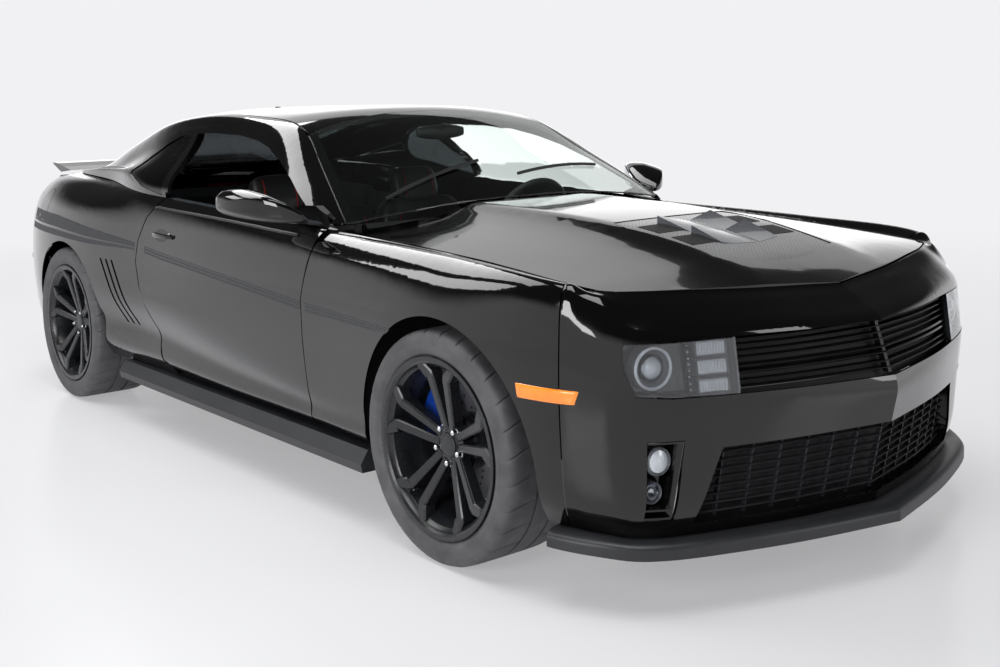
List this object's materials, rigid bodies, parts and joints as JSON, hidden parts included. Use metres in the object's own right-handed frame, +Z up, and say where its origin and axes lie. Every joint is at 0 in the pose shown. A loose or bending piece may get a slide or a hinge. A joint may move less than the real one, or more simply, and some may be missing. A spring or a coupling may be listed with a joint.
{
  "type": "muscle car",
  "caption": "Low two-door coupe in gloss black with long domed hood, fastback roof, blade spoiler, splitter, skirts, dark multi-spoke wheels, opening doors, hood and trunk",
  "frame": {"origin": "centre of the car's outline on the ground the tyres stand on", "axes": "+X to the nose, +Y to the driver's left, +Z up"},
  "size_m": [4.8304, 2.09, 1.352],
  "materials": {
    "gloss_black_paint": "deep gloss",
    "satin_black_trim": "satin",
    "clear_glass": "polished",
    "tinted_glass": "polished",
    "tyre_rubber": "matte",
    "satin_black_rim": "satin",
    "brake_iron": "turned",
    "blue_caliper": "gloss",
    "black_leather": "soft grain",
    "soft_black_trim": "matte",
    "underbody_paint": "matte",
    "cast_aluminium": "as cast",
    "cast_knuckle": "as cast",
    "exhaust_steel": "brushed",
    "lamp_lens": "polished",
    "red_lens": "gloss",
    "carbon_insert": "gloss weave"
  },
  "bodies": {
    "body_shell": {"floor_pan": "underbody_paint", "dashboard": "soft_black_trim", "seats": "black_leather", "powertrain": "cast_aluminium", "radiator": "cast_aluminium", "front_fenders": "gloss_black_paint", "quarter_panels": "gloss_black_paint", "front_bumper": "gloss_black_paint", "rear_bumper": "gloss_black_paint", "pillars_and_rails": "gloss_black_paint", "roof_panel": "gloss_black_paint", "windshield": "clear_glass", "rear_windows": "tinted_glass", "calipers_rear": "blue_caliper", "front_suspension": "underbody_paint", "rear_suspension": "underbody_paint", "front_splitter": "satin_black_trim", "side_skirts": "satin_black_trim", "rear_diffuser": "satin_black_trim", "exhaust": "exhaust_steel", "front_lamps": "lamp_lens", "tail_lamps": "red_lens", "upper_grille": "satin_black_trim", "lower_grille": "satin_black_trim", "cowl_panel": "satin_black_trim"},
    "hood": {"hood_panel": "gloss_black_paint", "hood_vent": "carbon_insert"},
    "trunk_lid": {"deck_lid": "gloss_black_paint", "rear_spoiler": "gloss_black_paint"},
    "door_right": {"door_panel_right": "gloss_black_paint", "mirror_right": "gloss_black_paint"},
    "door_left": {"door_panel_left": "gloss_black_paint", "mirror_left": "gloss_black_paint"},
    "steered_right": {"knuckle_right": "cast_knuckle", "caliper_front_right": "blue_caliper"},
    "steered_left": {"knuckle_left": "cast_knuckle", "caliper_front_left": "blue_caliper"},
    "hand_wheel": {"steering_wheel": "black_leather"},
    "wheel_front_right": {"tyre_front_right": "tyre_rubber", "rim_front_right": "satin_black_rim", "disc_front_right": "brake_iron"},
    "wheel_front_left": {"tyre_front_left": "tyre_rubber", "rim_front_left": "satin_black_rim", "disc_front_left": "brake_iron"},
    "wheel_rear_right": {"tyre_rear_right": "tyre_rubber", "rim_rear_right": "satin_black_rim", "disc_rear_right": "brake_iron"},
    "wheel_rear_left": {"tyre_rear_left": "tyre_rubber", "rim_rear_left": "satin_black_rim", "disc_rear_left": "brake_iron"}
  },
  "joints": [
    {"name": "hood_hinge", "type": "hinge", "parent": "body_shell", "child": "hood", "pos_m": [0.775, 0, 0.935], "axis": [0, -1, 0], "range_deg": [0, 50]},
    {"name": "trunk_hinge", "type": "hinge", "parent": "body_shell", "child": "trunk_lid", "pos_m": [-1.8, 0, 1.04], "axis": [0, 1, 0], "range_deg": [0, 75]},
    {"name": "door_right_hinge", "type": "hinge", "parent": "body_shell", "child": "door_right", "pos_m": [0.818, -0.889, 0.577], "axis": [0, 0, 1], "range_deg": [0, 65]},
    {"name": "door_left_hinge", "type": "hinge", "parent": "body_shell", "child": "door_left", "pos_m": [0.818, 0.889, 0.577], "axis": [0, 0, -1], "range_deg": [0, 65]},
    {"name": "steer_right", "type": "hinge", "parent": "body_shell", "child": "steered_right", "pos_m": [1.484, -0.735, 0.35], "axis": [0, 0, 1], "range_deg": [-30, 30]},
    {"name": "steer_left", "type": "hinge", "parent": "body_shell", "child": "steered_left", "pos_m": [1.484, 0.735, 0.35], "axis": [0, 0, 1], "range_deg": [-30, 30]},
    {"name": "steering_column", "type": "hinge", "parent": "body_shell", "child": "hand_wheel", "pos_m": [0.44, 0.37, 0.85], "axis": [-0.9135, 0, 0.4067], "range_deg": [-480, 480]},
    {"name": "spin_front_right", "type": "hinge", "parent": "steered_right", "child": "wheel_front_right", "pos_m": [1.484, -0.798, 0.35], "axis": [0, 1, 0], "continuous": true},
    {"name": "spin_front_left", "type": "hinge", "parent": "steered_left", "child": "wheel_front_left", "pos_m": [1.484, 0.798, 0.35], "axis": [0, 1, 0], "continuous": true},
    {"name": "spin_rear_right", "type": "hinge", "parent": "body_shell", "child": "wheel_rear_right", "pos_m": [-1.368, -0.798, 0.357], "axis": [0, 1, 0], "continuous": true},
    {"name": "spin_rear_left", "type": "hinge", "parent": "body_shell", "child": "wheel_rear_left", "pos_m": [-1.368, 0.798, 0.357], "axis": [0, 1, 0], "continuous": true}
  ],
  "couplings": [
    {"joint": "steer_left", "follows": "steer_right", "ratio": 1},
    {"joint": "steering_column", "follows": "steer_right", "ratio": 16}
  ]
}
